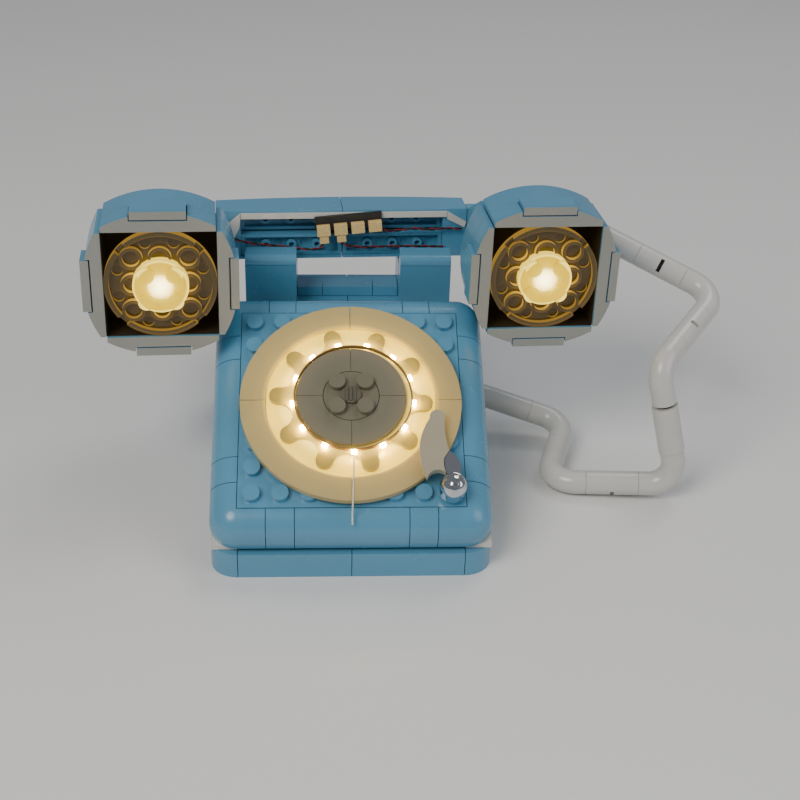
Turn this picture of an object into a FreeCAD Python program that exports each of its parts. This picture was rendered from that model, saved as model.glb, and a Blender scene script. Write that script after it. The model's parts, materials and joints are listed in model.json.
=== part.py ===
"""Retro rotary telephone built from studded bricks, with a lit dial and lit handset cups.

The origin is the middle of the base's underside. +X is the phone's right as a user faces it,
+Y points to the back and +Z is up. All sizes are millimetres.
"""
import FreeCAD, Part
import math
import os
from types import SimpleNamespace

import Sketcher

SIZES = [
    ("stud_pitch", 8.0), ("brick_high", 9.6), ("plate_high", 3.2), ("stud_dia", 4.8),
    ("stud_high", 1.8), ("seam", 0.2), ("wall", 1.6), ("tube_outer", 6.5),
    ("base_depth", 104.0), ("base_high", 8.0), ("sill_level", 9.6), ("deck_level", 44.8),
    ("panel_tilt", 30.0), ("panel_front", 3.44), ("panel_level", 21.46), ("panel_thick", 9.6),
    ("edge_round", 8.0), ("plate_studs", 8),
    ("ring_outer_dia", 63.5), ("ring_inner_dia", 49.0), ("ring_thick", 2.0), ("ring_lift", 1.9),
    ("floor_thick", 0.9), ("rotor_level", 3.1), ("rotor_thick", 1.5), ("lobe_reach", 20.9),
    ("lobe_radius", 2.55), ("valley_radius", 17.4), ("lobe_phase", -3.5), ("hub_radius", 15.6),
    ("hub_top", 6.4),
    ("hub_plate_radius", 7.9), ("axle_dia", 4.7), ("axle_fit", 0.05),
    ("strip_inner", 16.6), ("strip_outer", 17.0), ("strip_level", 4.95), ("strip_shift", 0.6),
    ("post_front", 26.6), ("post_deep", 7.8), ("post_high", 14.8), ("cap_high", 2.7),
    ("rest_high", 11.1),
    ("handset_span", 111.0), ("handset_yaw", 4.4), ("handset_pitch", -1.9),
    ("handset_roll", 0.8), ("cup_half", 16.0), ("bow_end", 1.6), ("bow_apex", 5.8),
    ("trim_thick", 0.9), ("front_layer", 8.0), ("rear_layer", 19.2), ("notch_half", 8.1),
    ("notch_floor", 3.3), ("tile_thick", 2.4), ("handle_front", 42.6), ("handle_deep", 11.8),
    ("handle_drop", 2.4), ("handle_half", 8.0), ("handle_bow", 2.0), ("handle_skin", 0.9),
    ("lens_radius", 15.95), ("disc_radius", 7.9),
    ("cord_dia", 7.4), ("collar_dia", 8.0), ("cord_bore", 4.9), ("spigot_dia", 4.75),
    ("elbow_reach", 12.0), ("bend_radius", 7.2), ("tube_long", 16.0), ("joint_gap", 0.1),
    ("open_gap", 0.9), ("root_run", 21.2), ("socket_run", 20.0), ("socket_dia", 9.4),
]

doc = FreeCAD.newDocument("RetroTelephone")
sheet = doc.addObject("Spreadsheet::Sheet", "Sizes")
for row, (alias, number) in enumerate(SIZES, 1):
    sheet.set("A%d" % row, alias)
    sheet.set("B%d" % row, str(number))
    sheet.setAlias("B%d" % row, alias)
doc.recompute()
size = SimpleNamespace(**{alias: float(sheet.get(alias)) for alias, _ in SIZES})

PITCH = size.stud_pitch
GAP = size.seam / 2.0
BRICK = "Sizes.brick_high - Sizes.seam"
PLATE = "Sizes.plate_high - Sizes.seam"
HALF_X = 5 * PITCH
HALF_Y = size.base_depth / 2.0
SIDES = (-1, 1)

sub_parts = []


# ---------------------------------------------------------------- helpers

def vec(x, y, z=0.0):
    return FreeCAD.Vector(x, y, z)


def place(x=0.0, y=0.0, z=0.0, axis=(0, 0, 1), angle=0.0):
    """A placement: turned by angle degrees about axis, then moved."""
    return FreeCAD.Placement(vec(x, y, z), FreeCAD.Rotation(vec(*axis), angle))


def add(kind, name, sizes, where=None):
    """A Part primitive whose properties are bound to sheet expressions."""
    item = doc.addObject(kind, name)
    for prop, expression in sizes.items():
        item.setExpression(prop, str(expression))
    if where:
        item.Placement = where
    return item


def block(name, length, width, height, corner=(0, 0, 0)):
    sizes = {"Length": length, "Width": width, "Height": height}
    return add("Part::Box", name, sizes, place(*corner))


def rod(name, radius, height, where=None, angle=360):
    return add("Part::Cylinder", name, {"Radius": radius, "Height": height, "Angle": angle}, where)


def brick(name, wide, deep, height, corner):
    """A block of whole studs that leaves half a seam free on every side."""
    length = "%s * Sizes.stud_pitch - Sizes.seam" % wide
    width = "%s * Sizes.stud_pitch - Sizes.seam" % deep
    x, y, z = corner
    return block(name, length, width, height, (x + GAP, y + GAP, z + GAP))


def fused(name, members):
    joined = doc.addObject("Part::MultiFuse", name)
    joined.Shapes = members
    joined.Refine = True
    return joined


def cut(name, base, tools):
    """base less one or more tools."""
    tool = tools[0] if len(tools) == 1 else fused(name + "_tool", tools)
    result = doc.addObject("Part::Cut", name)
    result.Base = base
    result.Tool = tool
    return result


def keep(label, members, frame=None):
    """Declare a sub-part: one object, or several separate solids in one compound."""
    if len(members) == 1:
        item = members[0]
    else:
        item = doc.addObject("Part::Compound", label)
        item.Links = members
    if frame:
        item.Placement = frame.multiply(item.Placement)
    item.Label = label
    sub_parts.append(item)
    return item


def spread(label, copies, frame=None):
    """Declare a sub-part made of copies: pairs of a master object and a placement."""
    doc.recompute()
    solids = [solid.transformed(where.Matrix) for master, where in copies
              for solid in master.Shape.Solids]
    item = doc.addObject("Part::Feature", label)
    item.Shape = Part.makeCompound(solids)
    item.Placement = frame or place()
    item.Label = label
    sub_parts.append(item)
    return item


def origin_plane(body, role):
    return next(plane for plane in body.Origin.OriginFeatures if plane.Role == role)


def sketch_on(body, role, edges, name):
    sketch = body.newObject("Sketcher::SketchObject", name)
    sketch.AttachmentSupport = [(origin_plane(body, role), "")]
    sketch.MapMode = "FlatFace"
    sketch.addGeometry(edges, False)
    return sketch


def padded_body(name, role, edges, thickness, midplane=False):
    """A PartDesign body: one closed outline padded to a sheet expression."""
    body = doc.addObject("PartDesign::Body", name)
    sketch = sketch_on(body, role, edges, name + "_outline")
    pad = body.newObject("PartDesign::Pad", name + "_pad")
    pad.Profile = sketch
    pad.Midplane = midplane
    pad.setExpression("Length", str(thickness))
    body.Tip = pad
    return body


def outline(points):
    """Straight edges through points, closed."""
    return [Part.LineSegment(vec(*a), vec(*b)) for a, b in zip(points, points[1:] + points[:1])]


def arc(start, middle, end):
    return Part.Arc(vec(*start), vec(*middle), vec(*end))


def on_circle(radius, degrees, centre=(0.0, 0.0)):
    angle = math.radians(degrees)
    return (centre[0] + radius * math.cos(angle), centre[1] + radius * math.sin(angle))


def stud_centres(count):
    """The stud positions of a square plate about its own centre."""
    span = [(index - (count - 1) / 2.0) * PITCH for index in range(int(count))]
    return [(x, y) for x in span for y in span]


def wire_solid(points, radius):
    """A round wire along straight runs joined by arcs as large as the runs allow."""
    nodes = [vec(*point) for point in points]
    edges = []
    start = nodes[0]
    for before, corner, after in zip(nodes, nodes[1:], nodes[2:]):
        into = (corner - before).normalize()
        out = (after - corner).normalize()
        half_turn = into.getAngle(out) / 2.0
        trim = 0.45 * min(corner.distanceToPoint(before), corner.distanceToPoint(after))
        bend = trim / math.tan(half_turn)
        first = corner - into * trim
        last = corner + out * trim
        toward = (out - into).normalize()
        centre = corner + toward * (bend / math.cos(half_turn))
        middle = centre - toward * bend
        edges.append(Part.LineSegment(start, first).toShape())
        edges.append(Part.Arc(first, middle, last).toShape())
        start = last
    edges.append(Part.LineSegment(start, nodes[-1]).toShape())
    path = Part.Wire(edges)
    direction = (nodes[1] - nodes[0]).normalize()
    ring = Part.Wire([Part.Circle(nodes[0], direction, radius).toShape()])
    solid = path.makePipeShell([ring], True, False)
    wanted = math.pi * radius ** 2 * path.Length
    if abs(solid.Volume / wanted - 1.0) > 0.02:
        raise RuntimeError("a wire's volume does not match its length")
    return solid


# ---------------------------------------------------------------- base

def build_base():
    depth_studs = size.base_depth / PITCH - 2
    corners = []
    for index, (sx, sy) in enumerate(((1, 1), (-1, 1), (-1, -1), (1, -1))):
        spot = place(sx * (4 * PITCH + GAP), sy * (HALF_Y - PITCH + GAP), 0, angle=90 * index)
        corners.append(rod("BaseCorner%d" % index, "Sizes.stud_pitch - Sizes.seam",
                           "Sizes.base_high - Sizes.seam / 2", spot, 90))
    keep("base_corners", corners)

    high = "Sizes.base_high - Sizes.seam"
    ends = [brick("BaseEnd%d%d" % (ix, iy), 4, 1, high, (x, y, -GAP))
            for ix, x in enumerate((-4 * PITCH, 0.0))
            for iy, y in enumerate((-HALF_Y, HALF_Y - PITCH))]
    keep("base_end_tiles", ends)

    runs = ((-depth_studs / 2, 4), (-depth_studs / 2 + 4, 3), (-depth_studs / 2 + 7, 4))
    sides = [brick("BaseSide%d%d" % (ix, iy), 1, count, high, (x, start * PITCH, -GAP))
             for ix, x in enumerate((-5 * PITCH, 4 * PITCH))
             for iy, (start, count) in enumerate(runs)]
    keep("base_side_tiles", sides)

    tray = brick("TrayBlock", 8, depth_studs, high, (-4 * PITCH, -HALF_Y + PITCH, -GAP))
    hollow = block("TrayHollow", "8 * Sizes.stud_pitch - Sizes.seam - 2 * Sizes.wall",
                   "Sizes.base_depth - 2 * Sizes.stud_pitch - Sizes.seam - 2 * Sizes.wall",
                   "Sizes.base_high - Sizes.wall",
                   (-4 * PITCH + GAP + size.wall, -HALF_Y + PITCH + GAP + size.wall, -GAP))
    keep("base_tray", [cut("Tray", tray, [hollow])])

    cover = block("Cover", "7.5 * Sizes.stud_pitch", "10.5 * Sizes.stud_pitch",
                  "Sizes.wall - Sizes.seam", (-3.75 * PITCH, -5.25 * PITCH, 0))
    slots = [block("CoverSlot%d" % index, "3 * Sizes.stud_pitch", "Sizes.wall", "Sizes.wall",
                   (-1.5 * PITCH, -4 * PITCH + index * PITCH / 2, 0)) for index in range(3)]
    keep("bottom_cover", [cut("CoverSlotted", cover, slots)])

    case = block("CaseBlock", "6 * Sizes.stud_pitch", "3.5 * Sizes.stud_pitch",
                 "2.8 * Sizes.wall", (-3 * PITCH, -2 * PITCH, size.wall + GAP))
    wells = [rod("CaseWell%d" % index, "1.35 * Sizes.stud_pitch", "2 * Sizes.wall",
                 place(side * 1.45 * PITCH, -0.25 * PITCH, 2 * size.wall))
             for index, side in enumerate(SIDES)]
    keep("battery_case", [cut("Case", case, wells)])
    cells = [rod("Cell%d" % index, "1.25 * Sizes.stud_pitch", "1.8 * Sizes.wall",
                 place(side * 1.45 * PITCH, -0.25 * PITCH, 2 * size.wall + GAP))
             for index, side in enumerate(SIDES)]
    keep("coin_cells", cells)


# ---------------------------------------------------------------- rear body

def wall_course(tag, level, height, corner_x, corner_y, spans):
    """One course of the U-shaped rear wall: two corners, two side bricks, rear bricks."""
    solids = []
    front = 2.5 * PITCH
    inner_y = HALF_Y - PITCH
    for side in SIDES:
        turn = 0 if side > 0 else 90
        centre = place(side * (4 * PITCH + GAP), inner_y + GAP, level + GAP, angle=turn)
        name = "%s%s" % (tag, "Right" if side > 0 else "Left")
        pieces = [rod(name + "Corner", "Sizes.stud_pitch - Sizes.seam", height, centre, 90)]
        wide = "Sizes.stud_pitch - Sizes.seam"
        edge = side * (4 * PITCH + GAP)
        if corner_x:
            reach = "%s * Sizes.stud_pitch" % corner_x
            start = edge - corner_x * PITCH if side > 0 else edge
            pieces.append(block(name + "ArmX", reach, wide, height,
                                (start, inner_y + GAP, level + GAP)))
        if corner_y:
            reach = "%s * Sizes.stud_pitch" % corner_y
            start = edge if side > 0 else edge - (PITCH - size.seam)
            pieces.append(block(name + "ArmY", wide, reach, height,
                                (start, inner_y + GAP - corner_y * PITCH, level + GAP)))
        solids.append(fused(name, pieces))
        deep = (inner_y - front) / PITCH - corner_y
        x = 4 * PITCH if side > 0 else -5 * PITCH
        wall = brick(name + "Side", 1, deep, height, (x, front, level))
        if tag == "CourseA" and side > 0:
            hole = doc.addObject("Part::Feature", "CordHole")
            hole.Shape = root_socket()
            wall = cut(name + "SideBored", wall, [hole])
        solids.append(wall)
    for index, (start, count) in enumerate(spans):
        solids.append(brick("%sRear%d" % (tag, index), count, 1, height,
                            (start * PITCH, inner_y, level)))
    return solids


def build_rear():
    sill = size.sill_level
    rise = size.brick_high
    inner_y = HALF_Y - PITCH
    front = 2.5 * PITCH
    courses = wall_course("CourseA", sill, BRICK, 1, 0, ((-3, 3), (0, 3)))
    courses += wall_course("CourseB", sill + rise, BRICK, 0, 1, ((-4, 2), (-2, 4), (2, 2)))
    third = sill + 2 * rise
    courses += [brick("CourseC%d" % index, 4, 1, BRICK, (start * PITCH, inner_y, third))
                for index, start in enumerate((-4, 0))]
    keep("rear_bricks", courses)

    fourth = third + rise
    plates = [brick("RearPlate%d%d" % (layer, index), count, 1, PLATE,
                    (start * PITCH, inner_y, fourth + layer * size.plate_high))
              for layer, spans in enumerate((((-4, 3), (-1, 2), (1, 3)), ((-4, 4), (0, 4))))
              for index, (start, count) in enumerate(spans)]
    keep("rear_plates", plates)

    slope_edges = [
        Part.LineSegment(vec(front + GAP, third + GAP), vec(front + GAP, fourth - GAP)),
        Part.LineSegment(vec(front + GAP, fourth - GAP), vec(front + PITCH, fourth - GAP)),
        arc((front + PITCH, fourth - GAP), (front + 2.2 * PITCH, fourth - 2.4),
            (inner_y - GAP, third + size.wall)),
        Part.LineSegment(vec(inner_y - GAP, third + size.wall), vec(inner_y - GAP, third + GAP)),
        Part.LineSegment(vec(inner_y - GAP, third + GAP), vec(front + GAP, third + GAP))]
    slope = padded_body("SideSlope", "YZ_Plane", slope_edges, "Sizes.stud_pitch - Sizes.seam")
    spread("side_slopes", [(slope, place(4 * PITCH + GAP)), (slope, place(-5 * PITCH + GAP))])

    inner = [brick("Inner%d" % index, 1, 1.5, "Sizes.deck_level - Sizes.sill_level"
                   " - Sizes.plate_high - Sizes.seam", (x, inner_y - 1.5 * PITCH, sill))
             for index, x in enumerate((-4 * PITCH, 3 * PITCH))]
    riser = brick("Riser", 8, 0.75, "Sizes.deck_level - Sizes.sill_level - Sizes.seam",
                  (-4 * PITCH, front, sill))
    keep("inner_walls", inner + [riser])
    keep("rear_sill", [block("Sill", "9.2 * Sizes.stud_pitch", "3.6 * Sizes.stud_pitch",
                             "Sizes.sill_level - Sizes.base_high - Sizes.seam / 2",
                             (-4.6 * PITCH, front + GAP, size.base_high))])

    deck_front = front + 0.75 * PITCH
    deck = [block("Deck%d" % index, "4 * Sizes.stud_pitch - Sizes.seam",
                  "%s" % (inner_y - deck_front - size.seam), PLATE,
                  (x + GAP, deck_front + GAP, size.deck_level - size.plate_high))
            for index, x in enumerate((-4 * PITCH, 0.0))]
    keep("deck_plates", deck)
    tiles = [brick("DeckTile%d" % index, count, 1, "Sizes.plate_high - Sizes.seam / 2",
                   (start * PITCH, inner_y - PITCH, size.deck_level - GAP))
             for index, (start, count) in enumerate(((-2, 1), (-1, 2), (1, 1)))]
    keep("deck_tiles", tiles)

    wide = "2 * Sizes.stud_pitch - Sizes.seam"
    posts = [block("Post%d" % index, wide, "Sizes.post_deep", "Sizes.post_high",
                   (x + GAP, size.post_front, size.deck_level + GAP))
             for index, x in enumerate((-4 * PITCH, 2 * PITCH))]
    keep("cradle_posts", posts)
    level = size.deck_level + size.post_high + size.seam
    low, back, top = size.post_front, size.post_front + size.post_deep, level + size.cap_high
    round_by = 2.3
    bend = round_by * (1 - math.sqrt(0.5))
    cap_edges = [
        Part.LineSegment(vec(back, level), vec(low, level)),
        Part.LineSegment(vec(low, level), vec(low, top - round_by)),
        arc((low, top - round_by), (low + bend, top - bend), (low + round_by, top)),
        Part.LineSegment(vec(low + round_by, top), vec(back, top)),
        Part.LineSegment(vec(back, top), vec(back, level))]
    cap = padded_body("PostCap", "YZ_Plane", cap_edges, wide)
    spread("post_caps", [(cap, place(-4 * PITCH + GAP)), (cap, place(2 * PITCH + GAP))])
    rest_front = size.post_front + size.post_deep + size.wall
    rests = [block("Rest%d" % index, wide, "%s" % (HALF_Y - GAP - rest_front),
                   "Sizes.rest_high", (x + GAP, rest_front, size.deck_level + GAP))
             for index, x in enumerate((-4 * PITCH, 2 * PITCH))]
    keep("cradle_rests", rests)

    tilt = math.radians(size.panel_tilt)
    under_y = size.panel_front - HALF_Y + (size.panel_thick * math.sin(tilt))
    under_z = size.panel_level - size.panel_thick * math.cos(tilt)

    def under(y):
        """Height of the panel's underside at depth y."""
        return under_z + (y - under_y) * math.tan(tilt)

    base_top = size.base_high + GAP
    cap_z = size.deck_level - GAP
    clear = 0.3
    slope_end = under_y + (cap_z + clear - under_z) / math.tan(tilt)
    stations = [-HALF_Y + 2.4, -2.5 * PITCH, 0.0, front - GAP]
    skirts = []
    for index, (start, end) in enumerate(zip(stations, stations[1:])):
        first = start + (GAP if index else 0.0)
        last = end - (GAP if index < 2 else 0.0)
        points = [(first, base_top), (last, base_top), (last, min(cap_z, under(last) - clear))]
        if last > slope_end:
            points.append((slope_end, cap_z))
        points.append((first, under(first) - clear))
        skirt = padded_body("Skirt%d" % index, "YZ_Plane", outline(points),
                            "Sizes.stud_pitch - 3 * Sizes.seam")
        skirts += [(skirt, place(4 * PITCH + GAP)),
                   (skirt, place(-5 * PITCH + 5 * GAP))]
    spread("side_skirts", skirts)


# ---------------------------------------------------------------- tilted panel

def panel_frame():
    return place(0, size.panel_front - HALF_Y, size.panel_level, (1, 0, 0), size.panel_tilt)


def dial_frame():
    return panel_frame().multiply(place(0, size.plate_studs * PITCH / 2))


def edge_master(tag, length):
    """A straight border piece along X: a quarter round on a short upright."""
    radius = "Sizes.edge_round - Sizes.seam / 2"
    along = place(GAP, -GAP, -size.edge_round, (0, 1, 0), 90)
    quarter = rod(tag + "Round", radius, length, along.multiply(place(angle=180)), 90)
    foot = block(tag + "Foot", length, radius, "Sizes.panel_thick - Sizes.edge_round",
                 (GAP, -size.edge_round, -size.panel_thick))
    return fused(tag, [quarter, foot])


def build_panel():
    frame = dial_frame()
    half = size.plate_studs * PITCH / 2
    edge = half - GAP
    square = outline([(-edge, -edge), (edge, -edge), (edge, edge), (-edge, edge)])

    plate = padded_body("DialPlate", "XY_Plane", square, "Sizes.plate_high")
    doc.recompute()
    studs = sketch_on(plate, "XY_Plane",
                      [Part.Circle(vec(x, y), vec(0, 0, 1), size.stud_dia / 2)
                       for x, y in stud_centres(size.plate_studs)], "PlateStuds")
    studs.AttachmentOffset = place(0, 0, size.plate_high)
    pad = plate.newObject("PartDesign::Pad", "StudPad")
    pad.Profile = studs
    pad.setExpression("Length", "Sizes.stud_high")
    plate.Tip = pad
    doc.recompute()
    before = plate.Shape.Volume
    bore = sketch_on(plate, "XY_Plane",
                     [Part.Circle(vec(0, 0), vec(0, 0, 1), size.axle_dia / 2 + size.axle_fit)],
                     "AxleBore")
    pocket = plate.newObject("PartDesign::Pocket", "AxlePocket")
    pocket.Profile = bore
    pocket.Type = "ThroughAll"
    pocket.Midplane = True
    plate.Tip = pocket
    doc.recompute()
    if plate.Shape.Volume >= before - 1.0:
        raise RuntimeError("the axle bore cut nothing")
    keep("dial_plate", [plate], frame.multiply(place(0, 0, -size.plate_high)))

    core_high = "Sizes.panel_thick - Sizes.plate_high - Sizes.seam / 2"
    core = brick("CoreBlock", 8, 8, core_high, (-half, -half, -size.panel_thick - GAP))
    inset = 2 * size.wall
    hollow = block("CoreHollow", "8 * Sizes.stud_pitch - Sizes.seam - 4 * Sizes.wall",
                   "8 * Sizes.stud_pitch - Sizes.seam - 4 * Sizes.wall",
                   "%s - Sizes.wall" % core_high,
                   (-half + GAP + inset, -half + GAP + inset, -size.panel_thick))
    bore = rod("CoreBore", "Sizes.axle_dia / 2 + 3 * Sizes.axle_fit", "Sizes.panel_thick",
               place(0, 0, -size.panel_thick))
    keep("panel_core", [cut("Core", core, [hollow, bore])], frame)

    quarter_turns = [place(angle=90 * index) for index in range(4)]
    long_edge = edge_master("EdgeLong", "4 * Sizes.stud_pitch - Sizes.seam")
    short_edge = edge_master("EdgeShort", "Sizes.stud_pitch - Sizes.seam")
    spread("panel_long_edges", [(long_edge, turn.multiply(place(-2 * PITCH, -half)))
                                for turn in quarter_turns], frame)
    spread("panel_short_edges", [(short_edge, turn.multiply(place(start * PITCH, -half)))
                                 for turn in quarter_turns for start in (-3, 2)], frame)

    radius = "Sizes.edge_round - Sizes.seam / 2"
    ball = add("Part::Sphere", "CornerBall", {"Radius": radius, "Angle1": 0, "Angle3": 90},
               place(GAP, GAP, -size.edge_round))
    foot = rod("CornerFoot", radius, "Sizes.panel_thick - Sizes.edge_round",
               place(GAP, GAP, -size.panel_thick), 90)
    arm_x = edge_master("CornerArmX", "Sizes.stud_pitch")
    arm_x.Placement = place(2 * GAP, 0, 0, angle=180)
    arm_y = edge_master("CornerArmY", "Sizes.stud_pitch")
    arm_y.Placement = place(0, -PITCH, 0, angle=90)
    corner = fused("CornerPiece", [ball, foot, arm_x, arm_y])
    spread("panel_corners", [(corner, turn.multiply(place(half, half)))
                             for turn in quarter_turns], frame)


# ---------------------------------------------------------------- dial

def rotor_edges():
    """Outline of the ten-lobed rotor: round lobe ends joined by hollow round valleys."""
    edges = []
    lobes = 10
    step = 360.0 / lobes
    half = math.radians(step / 2)
    rim = size.valley_radius - size.lobe_radius
    hollow = ((size.lobe_reach ** 2 - rim ** 2)
              / (2 * (size.lobe_reach * math.cos(half) - rim)))
    for index in range(lobes):
        angle = size.lobe_phase + index * step
        lobe = vec(*on_circle(size.lobe_reach, angle))
        before = vec(*on_circle(hollow, angle - step / 2))
        after = vec(*on_circle(hollow, angle + step / 2))
        following = vec(*on_circle(size.lobe_reach, angle + step))
        right = lobe + (before - lobe).normalize() * size.lobe_radius
        left = lobe + (after - lobe).normalize() * size.lobe_radius
        next_right = following + (after - following).normalize() * size.lobe_radius
        tip = vec(*on_circle(size.lobe_reach + size.lobe_radius, angle))
        valley = vec(*on_circle(size.valley_radius, angle + step / 2))
        edges += [Part.Arc(right, tip, left), Part.Arc(left, valley, next_right)]
    return edges


def build_dial():
    frame = dial_frame()
    outer = rod("RingOuter", "Sizes.ring_outer_dia / 2", "Sizes.ring_thick", None, 89.6)
    inner = rod("RingInner", "Sizes.ring_inner_dia / 2", "Sizes.ring_thick")
    quarter = cut("RingQuarter", outer, [inner])
    spread("dial_ring", [(quarter, place(0, 0, size.ring_lift, angle=90 * index + 0.2))
                         for index in range(4)], frame)

    floor = rod("FloorDisc", "Sizes.ring_inner_dia / 2 - Sizes.seam", "Sizes.floor_thick",
                place(0, 0, size.ring_lift))
    hole = rod("FloorHole", "Sizes.axle_dia / 2 + 3 * Sizes.axle_fit", "Sizes.floor_thick",
               place(0, 0, size.ring_lift))
    keep("dial_floor", [cut("Floor", floor, [hole])], frame)

    bore = "Sizes.axle_dia / 2"
    rotor = padded_body("Rotor", "XY_Plane", rotor_edges(), "Sizes.rotor_thick")
    rotor_bore = rod("RotorBore", bore, "Sizes.rotor_thick")
    keep("dial_rotor", [cut("RotorBored", rotor, [rotor_bore])],
         frame.multiply(place(0, 0, size.rotor_level)))

    hub_level = size.rotor_level + size.rotor_thick
    hub_high = "Sizes.hub_top - Sizes.rotor_level - Sizes.rotor_thick"
    tile = rod("HubOuter", "Sizes.hub_radius", hub_high, None, 89.4)
    gap = rod("HubInner", "Sizes.hub_plate_radius + Sizes.seam", hub_high)
    hub_tile = cut("HubTile", tile, [gap])
    spread("hub_tiles", [(hub_tile, place(0, 0, hub_level, angle=90 * index + 0.3))
                         for index in range(4)], frame)

    plate = rod("HubPlate", "Sizes.hub_plate_radius", hub_high, place(0, 0, hub_level))
    studs = [rod("HubStud%d" % index, "Sizes.stud_dia / 2", "Sizes.stud_high",
                 place(x, y, size.hub_top))
             for index, (x, y) in enumerate(stud_centres(2))]
    centre = rod("HubBore", bore, "2 * Sizes.stud_pitch", place(0, 0, 0))
    keep("hub_plate", [cut("HubBored", fused("HubStudded", [plate] + studs), [centre])], frame)

    shank = rod("AxleShank", bore, "Sizes.hub_top + Sizes.plate_high",
                place(0, 0, -size.plate_high))
    head = rod("AxleHead", "0.6 * Sizes.axle_dia", "Sizes.stud_high / 2",
               place(0, 0, size.hub_top))
    ribs = [block("AxleRib%d" % index, "0.1 * Sizes.axle_dia", "0.9 * Sizes.axle_dia",
                  "Sizes.stud_high / 4",
                  ((index - 1.25) * 0.25 * size.axle_dia, -0.45 * size.axle_dia,
                   size.hub_top + size.stud_high / 2)) for index in range(3)]
    keep("dial_axle", [fused("Axle", [shank, head] + ribs)], frame)

    strip_high = 1.2
    strip_spot = place(size.strip_shift, 0, size.strip_level)
    tape = rod("StripOuter", "Sizes.strip_outer", strip_high, strip_spot)
    open_middle = rod("StripInner", "Sizes.strip_inner", strip_high, strip_spot)
    keep("led_strip", [cut("Strip", tape, [open_middle])], frame)
    chip_deep = 1.0
    chip = block("Chip", chip_deep, "Sizes.wall", "0.6 * Sizes.wall",
                 (size.strip_outer + 0.02, -0.5 * size.wall, 0.1))
    count = 13
    chips = [(chip, strip_spot.multiply(place(angle=-90 + index * 360.0 / count)))
             for index in range(count)]
    spread("led_chips", chips, frame)

    wire_radius = 0.22
    ring_top = size.ring_lift + size.ring_thick
    chip_face = size.strip_outer + chip_deep
    run = [(size.strip_shift, -chip_face - 2 * wire_radius, size.strip_level + 0.4),
           (0.5, -22.8, size.strip_level + 0.4), (0.3, -26.2, ring_top + 0.5),
           (0.1, -32.7, ring_top + 0.5), (0, -33.9, ring_top - 1.4), (0, -34.6, 1.0),
           (0, -37.4, 0.35)]
    lead = doc.addObject("Part::Feature", "dial_lead")
    lead.Shape = wire_solid(run, wire_radius)
    keep("dial_lead", [lead], frame)


def build_finger_stop():
    """A polished knob on the plate's front right stud carries a tusk-shaped blade."""
    half = size.plate_studs * PITCH / 2
    frame = dial_frame().multiply(place(half - PITCH / 2, -half + PITCH / 2))
    foot_level = size.stud_high + GAP
    centre = foot_level + size.plate_high
    foot = rod("KnobFoot", "Sizes.stud_pitch / 2 - Sizes.seam", "Sizes.plate_high",
               place(0, 0, foot_level))
    ball = add("Part::Sphere", "KnobBall",
               {"Radius": "Sizes.stud_pitch / 2 - Sizes.seam", "Angle1": 0},
               place(0, 0, centre))
    lean = 20.0
    eye = place(0, 0, centre, (1, 0, 0), lean)
    groove_floor = eye.multiply(place(0, 0, 2.5))
    groove = cut("EyeGroove", rod("EyeOuter", 1.6, "Sizes.wall", groove_floor),
                 [rod("EyeInner", 1.1, "Sizes.wall", groove_floor)])
    bore = rod("EyeBore", 0.5, "Sizes.stud_pitch / 2", eye.multiply(place(0, 0, 1.0)))
    level = size.rotor_level + size.rotor_thick + 0.35
    thick = "1.4 * Sizes.wall"
    arm_edges = [
        arc((-0.7, 9.8), (1.4, 7.3), (2.1, 3.4)),
        Part.LineSegment(vec(2.1, 3.4), vec(2.1, 1.9)),
        Part.LineSegment(vec(2.1, 1.9), vec(-1.9, 1.9)),
        Part.LineSegment(vec(-1.9, 1.9), vec(-1.9, 3.2)),
        arc((-1.9, 3.2), (-2.35, 5.2), (-2.3, 7.4)),
        Part.LineSegment(vec(-2.3, 7.4), vec(-0.7, 9.8))]
    arm = padded_body("StopArm", "XY_Plane", arm_edges, thick)
    arm.Placement = place(0, 0, level)
    solid = fused("StopPivot", [foot, ball, arm])
    keep("stop_pivot", [cut("EyedPivot", solid, [groove, bore])], frame)

    blade_edges = [
        arc((-7.3, 1.6), (-9.2, 10.4), (-5.9, 20.3)),
        arc((-5.9, 20.3), (-3.2, 22.9), (-1.5, 20.9)),
        arc((-1.5, 20.9), (-1.8, 15.6), (-0.9, 10.1)),
        Part.LineSegment(vec(-0.9, 10.1), vec(-2.5, 7.5)),
        arc((-2.5, 7.5), (-2.55, 5.2), (-2.1, 3.2)),
        arc((-2.1, 3.2), (-4.6, 4.0), (-7.3, 1.6))]
    blade = padded_body("StopBlade", "XY_Plane", blade_edges, thick)
    keep("stop_blade", [blade], frame.multiply(place(0, 0, level)))


# ---------------------------------------------------------------- handset

def handset_frame():
    """The handset's own frame: origin midway between the cups' front faces."""
    turn = FreeCAD.Rotation(vec(0, 0, 1), size.handset_yaw)
    lean = FreeCAD.Rotation(vec(1, 0, 0), size.handset_pitch)
    roll = FreeCAD.Rotation(vec(0, 1, 0), size.handset_roll)
    return FreeCAD.Placement(vec(1.6, 48.8 - HALF_Y, 68.7), turn.multiply(lean).multiply(roll))


def cup_frame(side):
    """A cup's face frame: X right, Y up, Z out of the face towards the user."""
    face = place(side * size.handset_span / 2, 0, 0, (1, 0, 0), 90)
    return handset_frame().multiply(face)


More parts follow.
